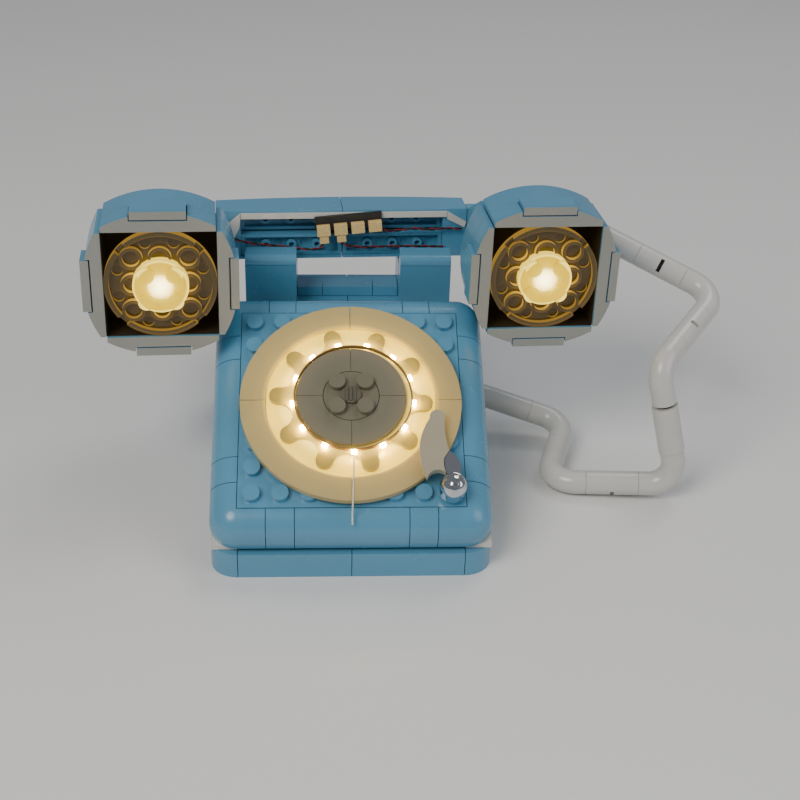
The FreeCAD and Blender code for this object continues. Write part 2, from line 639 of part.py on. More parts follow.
def bow_edges(notched):
    """A curved cover brick seen from its end, on the cup's upper side."""
    base = size.cup_half + GAP
    reach = size.cup_half - GAP
    end = size.cup_half + size.bow_end
    apex = size.cup_half + size.bow_apex
    rise = apex - end
    radius = (reach ** 2 + rise ** 2) / (2 * rise)

    def crown(x):
        return apex - radius + math.sqrt(radius ** 2 - x ** 2)

    sides = [Part.LineSegment(vec(-reach, end), vec(-reach, base)),
             Part.LineSegment(vec(-reach, base), vec(reach, base)),
             Part.LineSegment(vec(reach, base), vec(reach, end))]
    if not notched:
        return sides + [arc((reach, end), (0, apex), (-reach, end))]
    half = size.notch_half
    floor = size.cup_half + size.notch_floor
    mid = (reach + half) / 2
    return sides + [
        arc((reach, end), (mid, crown(mid)), (half, crown(half))),
        Part.LineSegment(vec(half, crown(half)), vec(half, floor)),
        Part.LineSegment(vec(half, floor), vec(-half, floor)),
        Part.LineSegment(vec(-half, floor), vec(-half, crown(half))),
        arc((-half, crown(half)), (-mid, crown(mid)), (-reach, end))]


def build_cup_masters():
    tile_low = size.cup_half + size.notch_floor + 2 * size.seam
    tile_high = tile_low + size.tile_thick
    half = size.notch_half - 1.5 * size.seam
    tile = outline([(-half, tile_low), (half, tile_low), (half, tile_high), (-half, tile_high)])
    layer = "Sizes.front_layer - Sizes.trim_thick - Sizes.seam / 2"
    return SimpleNamespace(
        front_bow=padded_body("FrontBow", "XY_Plane", bow_edges(True), layer),
        front_tile=padded_body("FrontTile", "XY_Plane", tile, layer),
        rear_bow=padded_body("RearBow", "XY_Plane", bow_edges(False),
                             "Sizes.rear_layer - Sizes.front_layer - Sizes.seam / 2"),
        trim_bow=padded_body("TrimBow", "XY_Plane", bow_edges(True), "Sizes.trim_thick"),
        trim_tile=padded_body("TrimTile", "XY_Plane", tile, "Sizes.trim_thick"))


def build_cup(name, side, masters):
    frame = cup_frame(side)
    turns = [place(angle=90 * index) for index in range(4)]
    front = place(0, 0, -size.front_layer)
    rear = place(0, 0, -size.rear_layer)
    bows = [(master, turn.multiply(depth)) for turn in turns
            for master, depth in ((masters.front_bow, front), (masters.front_tile, front),
                                  (masters.rear_bow, rear))]
    spread(name + "_bows", bows, frame)

    inner = size.cup_half - GAP
    well = -14.2
    shoulder = -22.4
    neck = -size.handle_front
    end = -(size.handle_front + 4.4)
    drop = size.handle_drop
    reach = size.handle_half
    profile = [(-inner, well), (inner, well), (inner, shoulder), (reach - drop, neck),
               (reach - drop, end), (-reach - drop, end), (-reach - drop, neck),
               (-inner, shoulder)]
    core = padded_body(name.title() + "Core", "YZ_Plane", outline(profile),
                       "4 * Sizes.stud_pitch - Sizes.seam", True)
    if side > 0:
        boss = doc.addObject("Part::Feature", "CordBoss")
        boss.Shape = mouthpiece_socket()
        boss.Placement = frame.inverse().multiply(boss.Placement)
        core = fused("BossedCore", [core, boss])
    keep(name + "_core", [core], frame)

    depth = "Sizes.wall"
    floor = rod(name + "LensFloor", "Sizes.lens_radius", "0.75 * Sizes.wall",
                place(0, 0, -size.plate_high))
    level = -size.plate_high + 0.75 * size.wall
    rim = cut(name + "LensRim", rod(name + "RimOuter", "Sizes.lens_radius", depth,
                                    place(0, 0, level)),
              [rod(name + "RimInner", "Sizes.lens_radius - 0.9 * Sizes.wall", depth,
                   place(0, 0, level))]
              + [block("%sRimGap%d" % (name, index), "2 * Sizes.lens_radius",
                       "2 * Sizes.wall", depth) for index in range(2)])
    for index in range(2):
        gap = doc.getObject("%sRimGap%d" % (name, index))
        gap.Placement = place(0, 0, level, angle=45 + 90 * index).multiply(
            place(-size.lens_radius, -size.wall))
    spots = [(x, y) for x in (-PITCH, 0, PITCH) for y in (-PITCH, 0, PITCH) if x or y]
    tubes = [rod("%sTube%d" % (name, index), "Sizes.tube_outer / 2", depth, place(x, y, level))
             for index, (x, y) in enumerate(spots)]
    bores = [rod("%sTubeBore%d" % (name, index), "Sizes.stud_dia / 2", depth,
                 place(x, y, level)) for index, (x, y) in enumerate(spots)]
    dimples = [rod("%sDimple%d" % (name, index), "Sizes.stud_dia / 3", "Sizes.wall / 2",
                   place(x, y, level - size.wall / 2))
               for index, (x, y) in enumerate(stud_centres(4)) if abs(x) + abs(y) == 2 * PITCH]
    seat = rod(name + "Seat", "Sizes.disc_radius + Sizes.seam", depth, place(0, 0, level))
    studs = [rod("%sLensStud%d" % (name, index), "Sizes.stud_dia / 2", "Sizes.stud_high",
                 place(x, y, -size.plate_high - size.stud_high))
             for index, (x, y) in enumerate(stud_centres(2))]
    body = fused(name + "LensBody", [floor, rim] + tubes + studs)
    keep(name + "_lens", [cut(name + "Lens", body, bores + dimples + [seat])], frame)

    disc = rod(name + "Disc", "Sizes.disc_radius", "1.8 * Sizes.wall", place(0, 0, level + GAP))
    bumps = [rod("%sDiscStud%d" % (name, index), "Sizes.stud_dia / 2", "Sizes.stud_high",
                 place(x, y, level + GAP + 1.8 * size.wall))
             for index, (x, y) in enumerate(stud_centres(2))]
    keep(name + "_disc", [fused(name + "DiscStudded", [disc] + bumps)], frame)
    return frame


def build_cups():
    masters = build_cup_masters()
    frames = [build_cup(name, side, masters)
              for name, side in (("earpiece", -1), ("mouthpiece", 1))]
    lamp = rod("Lamp", "Sizes.stud_dia / 2", "Sizes.plate_high")
    stem = rod("Stem", "Sizes.tube_outer / 2", "%s" % (14.2 - 3 * GAP - 2 * size.plate_high
                                                     - size.stud_high))
    turns = [place(angle=90 * index) for index in range(4)]
    trims = []
    lamps = []
    stems = []
    for frame in frames:
        trims += [(master, frame.multiply(turn).multiply(place(0, 0, -size.trim_thick)))
                  for turn in turns for master in (masters.trim_bow, masters.trim_tile)]
        lamp_z = -2 * size.plate_high - size.stud_high - GAP
        lamps.append((lamp, frame.multiply(place(0, 0, lamp_z))))
        stems.append((stem, frame.multiply(place(0, 0, -14.2 + GAP))))
    spread("cup_trims", trims)
    spread("cup_lamps", lamps)
    spread("lamp_stems", stems)


def build_handle():
    frame = handset_frame().multiply(place(0, 0, -size.handle_drop))
    front = size.handle_front
    back = front + size.handle_deep
    reach = size.handset_span / 2 - 2 * PITCH - GAP

    def back_line(x):
        """Depth of the gently bowed back at x."""
        return back - size.handle_bow * (x / reach) ** 2

    halves = []
    for side in SIDES:
        near, far = side * GAP, side * reach
        mid = (near + far) / 2
        edges = [Part.LineSegment(vec(near, front), vec(far, front)),
                 Part.LineSegment(vec(far, front), vec(far, back_line(far))),
                 arc((far, back_line(far)), (mid, back_line(mid)), (near, back_line(near))),
                 Part.LineSegment(vec(near, back_line(near)), vec(near, front))]
        tag = "Right" if side > 0 else "Left"
        slab = padded_body("Handle" + tag, "XY_Plane", edges, "2 * Sizes.handle_half", True)
        inner_x = 4 * PITCH - GAP
        channel = block("Channel" + tag, "4 * Sizes.stud_pitch - Sizes.seam / 2",
                        "Sizes.stud_pitch", "2 * Sizes.handle_half - 2 * Sizes.handle_skin",
                        (0 if side > 0 else -inner_x, front, -size.handle_half
                         + size.handle_skin))
        halves.append(cut("HandleShell" + tag, slab, [channel]))
    keep("handle_shells", halves, frame)

    row_high = "Sizes.handle_half - Sizes.handle_skin - Sizes.seam"
    wide = "4 * Sizes.stud_pitch - 2 * Sizes.seam"
    row = size.handle_half - size.handle_skin - size.seam
    plate = block("RowBlock", wide, "Sizes.plate_high", row_high)
    recess = block("RowRecess", "%s - 1.5 * Sizes.wall" % wide, "0.6 * Sizes.plate_high",
                   "%s - 1.2 * Sizes.wall" % row_high,
                   (0.75 * size.wall, 0, 0.6 * size.wall))
    middle = row / 2
    deep = 0.6 * size.plate_high
    pins = [rod("RowPin%d" % index, "Sizes.wall", "%s" % deep,
                place((index + 1) * PITCH - size.seam, deep, middle, (1, 0, 0), 90))
            for index in range(3)]
    pin_bores = [rod("RowPinBore%d" % index, "Sizes.wall / 2", "%s" % deep,
                     place((index + 1) * PITCH - size.seam, deep, middle, (1, 0, 0), 90))
                 for index in range(3)]
    dimples = [rod("RowDimple%d" % index, "0.75 * Sizes.wall", "%s" % (deep + 0.5),
                   place((index + 0.5) * PITCH - size.seam, deep + 0.5, middle, (1, 0, 0), 90))
               for index in range(4)]
    open_row = cut("RowOpen", plate, [recess])
    master = cut("RowPlate", fused("RowPinned", [open_row] + pins), pin_bores + dimples)
    lefts = (-4 * PITCH + 2 * GAP, 2 * GAP)
    upper = [(master, place(x, front + 4.4, GAP)) for x in lefts]
    lower = [(master, place(x, front + 0.6, -row - GAP)) for x in lefts]
    spread("upper_plates", upper, frame)
    spread("lower_plates", lower, frame)

    strip_low, strip_top = 5.6, 7.4
    thick = "Sizes.trim_thick - Sizes.seam"
    trim_back = front - GAP
    strip = block("TrimStrip", "8.1 * Sizes.stud_pitch", thick, strip_top - strip_low,
                  (-3.98 * PITCH, trim_back - size.trim_thick + size.seam, strip_low))
    left_wing = [(-32.0, strip_top), (-35.6, 4.4), (-35.8, 2.2), (-33.9, -0.7), (-32.3, 2.8),
                 (-32.0, strip_low)]
    right_wing = [(33.1, strip_top), (39.3, 3.9), (38.8, 2.0), (33.1, 4.9)]
    wings = []
    for tag, points in (("Left", left_wing), ("Right", right_wing)):
        wing = padded_body("Wing" + tag, "XZ_Plane", outline(points), thick)
        wing.Placement = place(0, trim_back, 0)
        wings.append(wing)
    keep("handle_trim", [strip] + wings, frame)

    board_frame = frame.multiply(place(1.7, front - 1.75, 4.9, (0, 1, 0), -4.9))
    keep("expansion_board", [block("Board", "21", "0.8", "4.6", (-10.5, 0, -2.3))], board_frame)
    spacing = 5.4
    centres = [(index - 1.5) * spacing for index in range(4)]
    sockets = [(block("Socket", "4.1", "2.2", "3.2"), place(x - 2.05, -2.3, -3.4))
               for x in centres]
    spread("board_sockets", sockets, board_frame)
    plugs = [(block("Plug", "2.8", "1.6", "2.4"), place(x - 1.4, -2.0, -5.9))
             for x in centres[:2]]
    spread("board_plugs", plugs, board_frame)

    near = front - 1.4
    plug = front - 2.9
    pair = 0.45
    left_run = [(-35.6, near, -0.2), (-28.7, near, -2.4), (-21.4, near, -2.9),
                (-13.5, near, -4.2), (-7.6, plug, -4.1), (-6.3, plug, -2.3)]
    middle_run = [(-0.6, plug, -1.8), (2.4, plug, -3.4), (11.0, near, -3.9),
                  (20.2, near, -3.7), (32.2, near, -4.2)]
    right_run = [(12.4, plug, 2.4), (15.6, near, 1.2), (21.8, near, 2.3),
                 (27.9, near, 1.6), (32.5, near, 2.2), (38.0, near, 1.8)]
    lead = doc.addObject("Part::Feature", "handset_leads")
    lead.Shape = Part.makeCompound([wire_solid(run, pair)
                                    for run in (left_run, middle_run, right_run)])
    keep("handset_leads", [lead], frame)


# ---------------------------------------------------------------- cord tubes

def tube_shape(start, direction, pitch_long, radius, slit=None):
    """A straight hollow tube that leaves half a joint gap free at each end.

    A slit is the side that it faces and its reach across the tube's middle."""
    length = pitch_long - size.joint_gap
    foot = start + direction * (size.joint_gap / 2)
    shape = Part.makeCylinder(radius, length, foot, direction)
    shape = shape.cut(Part.makeCylinder(size.cord_bore / 2, length, foot, direction))
    if slit:
        facing, wide = slit
        narrow = 1.2
        across = facing.cross(direction).normalize()
        outward = direction.cross(across)
        opening = Part.makeBox(narrow, wide, 2 * radius)
        corner = foot + direction * ((length - narrow) / 2) - across * (wide / 2)
        opening.Placement = FreeCAD.Placement(corner, FreeCAD.Rotation(direction, across, outward))
        shape = shape.cut(opening)
    return shape


def elbow_shape(start, into, out, spigot_in):
    """A swept elbow that enters along into and leaves along out.

    A spigot is a thin neck that plugs into the next tube's bore; the leaving end always has
    one and the entering end may have a plain bore instead."""
    half_turn = into.getAngle(out) / 2
    trim = size.bend_radius * math.tan(half_turn)
    corner = start + into * size.elbow_reach
    foot = start + into * (size.joint_gap / 2)
    finish = corner + out * (size.elbow_reach - size.joint_gap / 2)
    first = corner - into * trim
    last = corner + out * trim
    toward = (out - into).normalize()
    middle = corner + toward * (size.bend_radius / math.cos(half_turn) - size.bend_radius)
    path = Part.Wire([Part.LineSegment(foot, first).toShape(),
                      Part.Arc(first, middle, last).toShape(),
                      Part.LineSegment(last, finish).toShape()])
    ring = Part.Wire([Part.Circle(foot, into, size.cord_dia / 2).toShape()])
    shape = path.makePipeShell([ring], True, False)
    neck = 3.0
    shape = shape.fuse(Part.makeCylinder(size.spigot_dia / 2, neck, finish, out))
    if spigot_in:
        shape = shape.fuse(Part.makeCylinder(size.spigot_dia / 2, neck, foot, into * -1))
    else:
        shape = shape.cut(Part.makeCylinder(size.cord_bore / 2, neck, foot, into))
    return shape.removeSplitter()


def cord_route():
    """Where each run of the tube cord starts and the way it heads, wall to mouthpiece."""
    headings = [vec(0.94, -0.2663, -0.2131), vec(-0.3116, -0.9461, -0.0882),
                vec(0.9919, -0.1169, 0.049), vec(-0.233, 0.1316, 0.9635),
                vec(0.6034, 0.7691, 0.2108), vec(-0.8623, 0.3904, 0.3225)]
    runs = [size.root_run, PITCH, size.tube_long, size.tube_long, size.tube_long,
            size.tube_long]
    point = vec(5 * PITCH, 29.23, 13.47)
    route = []
    for index, (heading, run) in enumerate(zip(headings, runs)):
        heading.normalize()
        if index:
            point = point + (headings[index - 1] + heading) * size.elbow_reach
        route.append((point, heading, run))
        point = point + heading * run
    return route


def root_socket():
    """The hole in the body's wall that the first tube comes out of."""
    point, heading, _ = cord_route()[0]
    return Part.makeCylinder(size.cord_dia / 2 + GAP, 2 * PITCH, point - heading * PITCH,
                             heading)


def mouthpiece_socket():
    """The boss on the mouthpiece that the last tube plugs into."""
    point, heading, run = cord_route()[-1]
    start = point + heading * (run + size.socket_run)
    return Part.makeCylinder(size.socket_dia / 2, 1.4 * PITCH, start, heading)


def build_cord():
    """Rigid tubes and elbows that swivel on one another, from the body to the handset."""
    route = cord_route()
    thin = size.cord_dia / 2
    collar = size.collar_dia / 2

    def elbow(index, spigot_in=True):
        """The elbow between two neighbouring runs."""
        point, into, run = route[index]
        return elbow_shape(point + into * run, into, route[index + 1][1], spigot_in)

    def tube(index, slit=None):
        point, heading, run = route[index]
        return tube_shape(point, heading, run, thin, slit)

    first, heading, run = route[0]
    inside = 0.6 * PITCH
    last, last_heading, last_run = route[-1]
    open_start = route[3][0]
    open_tube = tube_shape(open_start, route[3][1], size.tube_long - size.open_gap, collar)
    pieces = {
        "cord_root_tube": [tube_shape(first - heading * inside, heading, run + inside, thin)],
        "cord_link_1": [elbow(0), tube(1)],
        "cord_link_2": [elbow(1), tube(2, (vec(0, -0.75, -0.66), 3.0))],
        "cord_link_3": [elbow(2), open_tube],
        "cord_link_4": [elbow(3, spigot_in=False), tube(4, (vec(-0.24, -0.88, 0.41), 2.6))],
        "cord_link_5": [elbow(4), tube(5, (vec(-0.24, -0.88, 0.41), 4.2))],
        "cord_handset_tube": [tube_shape(last + last_heading * last_run, last_heading,
                                         size.socket_run, thin)]}
    for name, shapes in pieces.items():
        item = doc.addObject("Part::Feature", name)
        item.Shape = Part.makeCompound(shapes)
        keep(name, [item])


# ---------------------------------------------------------------- build and write

def main():
    build_base()
    build_rear()
    build_panel()
    build_dial()
    build_finger_stop()
    build_cups()
    build_handle()
    build_cord()
    doc.recompute()

    for item in doc.Objects:
        if "Invalid" in item.State or "Error" in item.State:
            raise RuntimeError("%s failed: %s" % (item.Name, item.State))
    os.makedirs("parts", exist_ok=True)
    for item in sub_parts:
        shape = item.Shape
        if shape.isNull() or not shape.isValid() or not shape.Solids:
            raise RuntimeError("%s has no valid shape" % item.Label)
    for item in sub_parts:
        item.Shape.exportStep("parts/%s.step" % item.Label)
        print("%-20s %3d solids %10.1f mm3" % (item.Label, len(item.Shape.Solids),
                                               item.Shape.Volume))
    print(len(sub_parts), "nodes")


main()
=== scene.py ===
import json
import math

import bmesh
import bpy
from mathutils import Matrix, Vector


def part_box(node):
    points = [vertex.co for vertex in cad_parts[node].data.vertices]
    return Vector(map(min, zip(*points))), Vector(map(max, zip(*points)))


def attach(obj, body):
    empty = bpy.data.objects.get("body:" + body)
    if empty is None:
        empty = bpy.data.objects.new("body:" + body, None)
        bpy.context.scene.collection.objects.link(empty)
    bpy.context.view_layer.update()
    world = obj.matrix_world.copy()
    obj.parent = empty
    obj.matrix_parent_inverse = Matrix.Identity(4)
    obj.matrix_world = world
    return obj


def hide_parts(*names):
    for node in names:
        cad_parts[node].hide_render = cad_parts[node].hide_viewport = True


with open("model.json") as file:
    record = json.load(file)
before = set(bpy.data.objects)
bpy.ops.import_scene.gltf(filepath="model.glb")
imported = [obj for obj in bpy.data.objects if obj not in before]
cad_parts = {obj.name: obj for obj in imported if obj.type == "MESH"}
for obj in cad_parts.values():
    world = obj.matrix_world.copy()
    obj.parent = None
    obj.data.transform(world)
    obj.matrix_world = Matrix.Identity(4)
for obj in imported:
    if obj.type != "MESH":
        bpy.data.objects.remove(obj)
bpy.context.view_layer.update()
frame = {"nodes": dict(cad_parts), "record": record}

MM = 0.001
CUP_SIDEWAYS = 55.5 * MM

# The handset's own frame: its origin is midway between the cups' front faces.
HANDSET = (Matrix.Translation((1.6 * MM, -3.2 * MM, 68.7 * MM))
           @ Matrix.Rotation(math.radians(4.4), 4, "Z")
           @ Matrix.Rotation(math.radians(-1.9), 4, "X")
           @ Matrix.Rotation(math.radians(0.8), 4, "Y"))
HANDLE = HANDSET @ Matrix.Translation((0, 0, -2.4 * MM))
FACE_NORMAL = HANDSET.to_3x3() @ Vector((0, -1, 0))


def cup_matrix(side):
    """A cup's face frame: X right, Y up, Z out of the face towards the user."""
    return (HANDSET @ Matrix.Translation((side * CUP_SIDEWAYS, 0, 0))
            @ Matrix.Rotation(math.radians(90), 4, "X"))


def middle_of(name):
    """The middle of a CAD node's box."""
    low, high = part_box(name)
    return tuple((a + b) / 2 for a, b in zip(low, high))


DIAL_MIDDLE = middle_of("hub_plate")


# ---------------------------------------------------------------- camera, lights and floor

def make_camera():
    """The photograph's view: 31 degrees down from the front, nearly straight on."""
    yaw, pitch, roll = math.radians(3.82), math.radians(30.69), math.radians(-1.83)
    forward = Vector((math.sin(yaw) * math.cos(pitch), math.cos(yaw) * math.cos(pitch),
                      -math.sin(pitch)))
    level = Vector((math.cos(yaw), -math.sin(yaw), 0.0))
    down = forward.cross(level)
    right = level * math.cos(roll) + down * math.sin(roll)
    lower = down * math.cos(roll) - level * math.sin(roll)
    turn = Matrix((right, -lower, -forward)).transposed().to_4x4()
    data = bpy.data.cameras.new("Camera")
    data.lens = 62.3
    data.sensor_width = 36.0
    data.clip_start = 0.01
    camera = bpy.data.objects.new("Camera", data)
    spot = (-8.7 * MM, -363.3 * MM, 243.3 * MM)
    camera.matrix_world = Matrix.Translation(spot) @ turn
    bpy.context.collection.objects.link(camera)
    bpy.context.scene.camera = camera


def area_light(name, spot, target, size, power, colour):
    """A round soft light at spot that points at target."""
    data = bpy.data.lights.new(name, "AREA")
    data.shape = "DISK"
    data.size = size
    data.energy = power
    data.color = colour
    lamp = bpy.data.objects.new(name, data)
    lamp.location = spot
    lamp.rotation_euler = (Vector(target) - Vector(spot)).to_track_quat("-Z", "Y").to_euler()
    bpy.context.collection.objects.link(lamp)


def make_studio():
    world = bpy.data.worlds.new("Studio")
    world.use_nodes = True
    back = world.node_tree.nodes["Background"]
    back.inputs["Color"].default_value = (0.90, 0.93, 1.0, 1.0)
    back.inputs["Strength"].default_value = 0.22
    bpy.context.scene.world = world
    centre = (0.01, 0.0, 0.04)
    area_light("Key", (-0.45, -0.55, 0.75), centre, 0.55, 6.2, (1.0, 0.97, 0.93))
    area_light("Fill", (0.70, -0.35, 0.45), centre, 0.60, 1.9, (0.94, 0.97, 1.0))
    area_light("Rim", (0.35, 0.45, 0.95), centre, 0.50, 2.2, (1.0, 1.0, 1.0))
    mesh = bpy.data.meshes.new("Floor")
    reach = 3.0
    mesh.from_pydata([(-reach, -reach, 0), (reach, -reach, 0), (reach, reach, 0),
                      (-reach, reach, 0)], [], [(0, 1, 2, 3)])
    floor = bpy.data.objects.new("Floor", mesh)
    bpy.context.collection.objects.link(floor)
    paint = bpy.data.materials.new("FloorPaint")
    paint.use_nodes = True
    shader = paint.node_tree.nodes["Principled BSDF"]
    shader.inputs["Base Color"].default_value = (0.80, 0.79, 0.77, 1.0)
    shader.inputs["Roughness"].default_value = 0.45
    mesh.materials.append(paint)


# ---------------------------------------------------------------- materials

# Where a Mix node in colour mode keeps its two colours and its result.
MIX_FIRST, MIX_SECOND, MIX_RESULT = 6, 7, 2
BLACK = (0.0, 0.0, 0.0)


class Tree:
    """A small builder for one material's nodes."""

    def __init__(self, name):
        self.material = bpy.data.materials.new(name)
        self.material.use_nodes = True
        self.nodes = self.material.node_tree.nodes
        self.links = self.material.node_tree.links
        self.shader = self.nodes["Principled BSDF"]
        self.place = self.nodes.new("ShaderNodeTexCoord").outputs["Object"]

    def set(self, **values):
        for name, value in values.items():
            self.shader.inputs[name.replace("_", " ")].default_value = value
        return self

    def link(self, output, socket):
        self.links.new(output, socket)

    def drive(self, name, output):
        """Links output to one of the shader's own sockets."""
        self.link(output, self.shader.inputs[name])
        return self

    def noise(self, scale, detail):
        node = self.nodes.new("ShaderNodeTexNoise")
        node.inputs["Scale"].default_value = scale
        node.inputs["Detail"].default_value = detail
        self.link(self.place, node.inputs["Vector"])
        return node.outputs["Fac"]

    def ramp(self, value, low, high, at=(0.0, 1.0)):
        """value mapped from the range at onto numbers or colours from low to high."""
        node = self.nodes.new("ShaderNodeValToRGB")
        for stop, colour, position in zip(node.color_ramp.elements, (low, high), at):
            stop.position = position
            stop.color = colour if hasattr(colour, "__len__") else (colour,) * 3 + (1.0,)
        self.link(value, node.inputs["Fac"])
        return node.outputs["Color"]

    def ramp_stops(self, value, stops):
        """value mapped through several (position, colour) stops."""
        node = self.nodes.new("ShaderNodeValToRGB")
        elements = node.color_ramp.elements
        while len(elements) < len(stops):
            elements.new(1.0)
        for element, (position, colour) in zip(elements, stops):
            element.position = position
            element.color = colour + (1.0,)
        self.link(value, node.inputs["Fac"])
        return node.outputs["Color"]

    def reach(self, point, full):
        """Distance from point, as a share of full."""
        away = self.nodes.new("ShaderNodeVectorMath")
        away.operation = "DISTANCE"
        away.inputs[1].default_value = point
        self.link(self.place, away.inputs[0])
        share = self.nodes.new("ShaderNodeMath")
        share.operation = "DIVIDE"
        share.inputs[1].default_value = full
        self.link(away.outputs["Value"], share.inputs[0])
        return share.outputs["Value"]

    def facing(self, axis):
        """How squarely the surface faces along axis, either way, from 0 to 1."""
        normal = self.nodes.new("ShaderNodeTexCoord").outputs["Normal"]
        dot = self.nodes.new("ShaderNodeVectorMath")
        dot.operation = "DOT_PRODUCT"
        dot.inputs[1].default_value = axis
        self.link(normal, dot.inputs[0])
        size = self.nodes.new("ShaderNodeMath")
        size.operation = "ABSOLUTE"
        self.link(dot.outputs["Value"], size.inputs[0])
        return size.outputs["Value"]

    def mix_node(self, first, second):
        node = self.nodes.new("ShaderNodeMix")
        node.data_type = "RGBA"
        self.link(first, node.inputs[MIX_FIRST])
        self.link(second, node.inputs[MIX_SECOND])
        return node

    def multiplied(self, first, second):
        """Two colours multiplied together."""
        node = self.mix_node(first, second)
        node.blend_type = "MULTIPLY"
        node.inputs["Factor"].default_value = 1.0
        return node.outputs[MIX_RESULT]

    def mixed(self, share, first, second):
        """first where share is 0 and second where it is 1; both are colour outputs."""
        node = self.mix_node(first, second)
        self.link(share, node.inputs["Factor"])
        return node.outputs[MIX_RESULT]

    def bump(self, height, distance, strength):
        """Adds relief: height is an output from 0 to 1, and distance is its full depth."""
        node = self.nodes.new("ShaderNodeBump")
        node.inputs["Distance"].default_value = distance
        node.inputs["Strength"].default_value = strength
        self.link(height, node.inputs["Height"])
        return self.drive("Normal", node.outputs["Normal"])


def tint(colour, factor):
    """colour made lighter or darker by factor, with an alpha of 1."""
    return tuple(min(1.0, value * factor) for value in colour) + (1.0,)


def flow_marks(tree, colour, variation):
    """The slow, faint change of colour that moulding leaves."""
    return tree.ramp(tree.noise(55.0, 3.0), tint(colour, 1.0 - variation),
                     tint(colour, 1.0 + variation), (0.3, 0.7))


def moulded_tree(name, colour, rough):
    """Glossy moulded plastic with slight flow marks, handling smudges and ripples."""
    tree = Tree(name).set(IOR=1.50, Coat_Weight=0.10, Coat_Roughness=0.10)
    tree.drive("Base Color", flow_marks(tree, colour, 0.04))
    smudge = tree.noise(190.0, 5.0)
    tree.drive("Roughness", tree.ramp(smudge, rough * 0.92, rough * 1.18, (0.35, 0.72)))
    return tree.bump(tree.noise(330.0, 1.0), 0.02 * MM, 0.15)


def moulded(name, colour, rough=0.24):
    return moulded_tree(name, colour, rough).material


def lit_plastic(name, colour, glow, reach, stops, rough=0.24):
    """Moulded plastic round the dial with painted glow: an emission that stands in for the
    light its lamps shed on it and pass through it.

    stops are colours of the glow against the distance from the dial's middle, as a share
    of reach."""
    tree = moulded_tree(name, colour, rough).set(Emission_Strength=glow)
    glow_colour = tree.ramp_stops(tree.reach(DIAL_MIDDLE, reach), stops)
    return tree.drive("Emission Color", glow_colour).material


def trim_plastic(name, front, rest):
    """The cups' frames: body-coloured pieces whose flat front faces are paler."""
    tree = moulded_tree(name, rest, 0.30)
    body = tree.shader.inputs["Base Color"].links[0].from_socket
    share = tree.ramp(tree.facing(FACE_NORMAL), 0.0, 1.0, (0.80, 0.97))
    return tree.drive("Base Color", tree.mixed(share, body, flow_marks(tree, front, 0.05))
                      ).material


def matt(name, colour, rough=0.6):
    """Dull plastic or coating with a fine grain."""
    tree = Tree(name).set(Roughness=rough)
    speck = tree.noise(3000.0, 2.0)
    tree.drive("Base Color", tree.ramp(speck, tint(colour, 0.85), tint(colour, 1.15),
                                       (0.35, 0.65)))
    return tree.bump(speck, 0.04 * MM, 0.6).material


def metal(name, colour, rough):
    """Plated metal with smudges and a very fine grain."""
    tree = Tree(name).set(Metallic=1.0, Base_Color=tint(colour, 1.0))
    smudge = tree.noise(220.0, 4.0)
    tree.drive("Roughness", tree.ramp(smudge, rough * 0.85, rough * 1.3, (0.35, 0.7)))
    return tree.bump(tree.noise(900.0, 2.0), 0.01 * MM, 0.25).material


def clear_tree(name, colour, see_through, clean, worn):
    """Clear plastic; its roughness goes from clean to worn where it was handled."""
    tree = Tree(name).set(IOR=1.49, Transmission_Weight=see_through, Emission_Strength=1.0,
                          Base_Color=colour)
    tree.drive("Roughness", tree.ramp(tree.noise(300.0, 4.0), clean, worn, (0.4, 0.75)))
    return tree.bump(tree.noise(350.0, 1.0), 0.03 * MM, 0.4)


def lens_plastic(name, middle):
    """Clear brown plastic with painted glow: an emission, brightest on its upright walls,
    near the lamp and at its outer edge, that stands in for the lamp's light carried through
    the plastic.
    """
    tree = clear_tree(name, (0.135, 0.095, 0.028, 1.0), 0.45, 0.12, 0.26)
    painted_wall_glow = tree.ramp(tree.facing(FACE_NORMAL), (1.0, 0.60, 0.10, 1.0),
                      (0.030, 0.019, 0.001, 1.0), (0.20, 0.70))
    painted_lamp_pool = tree.ramp_stops(tree.reach(middle, 17 * MM), (
        (0.40, (1.2, 1.1, 0.8)), (0.68, (0.34, 0.32, 0.28)), (0.92, (0.22, 0.20, 0.17)),
        (0.99, (0.55, 0.50, 0.42))))
    return tree.drive("Emission Color", tree.multiplied(painted_wall_glow, painted_lamp_pool)).material


def disc_plastic(name, middle):
    """Clear yellow plastic with painted glow: a hot spot in front of its lamp, a bright
    painted ring near its edge and painted shade on its sides.
    """
    tree = clear_tree(name, (0.50, 0.33, 0.005, 1.0), 0.10, 0.10, 0.22)
    # Painted glow across the face: hot spot in the middle, a bright ring near the edge.
    face = tree.ramp_stops(tree.reach(middle, 8 * MM), (
        (0.0, (8.0, 7.0, 4.2)), (0.32, (5.0, 4.0, 1.5)), (0.50, (1.25, 0.90, 0.05)),
        (0.64, (0.98, 0.66, 0.01)), (0.91, (0.85, 0.56, 0.0)), (0.955, (1.9, 1.5, 0.25))))
    # Painted shade: the disc's sides glow less than its front face.
    painted_side_shade = tree.ramp(tree.facing(FACE_NORMAL), (0.62, 0.60, 0.55, 1.0), (1.0, 1.0, 1.0, 1.0),
                    (0.30, 0.75))
    return tree.drive("Emission Color", tree.multiplied(face, painted_side_shade)).material


def glowing(name, colour, strength):
    """A lit lamp, brightest where its phosphor is thickest."""
    tree = Tree(name).set(Roughness=0.4, Base_Color=tint(colour, 1.0),
                          Emission_Strength=strength)
    phosphor = tree.ramp(tree.noise(500.0, 1.0), tint(colour, 0.85), tint(colour, 1.0),
                         (0.3, 0.7))
    return tree.drive("Emission Color", phosphor).material


BLUE = (0.100, 0.300, 0.455)
WHITE = (0.62, 0.60, 0.54)
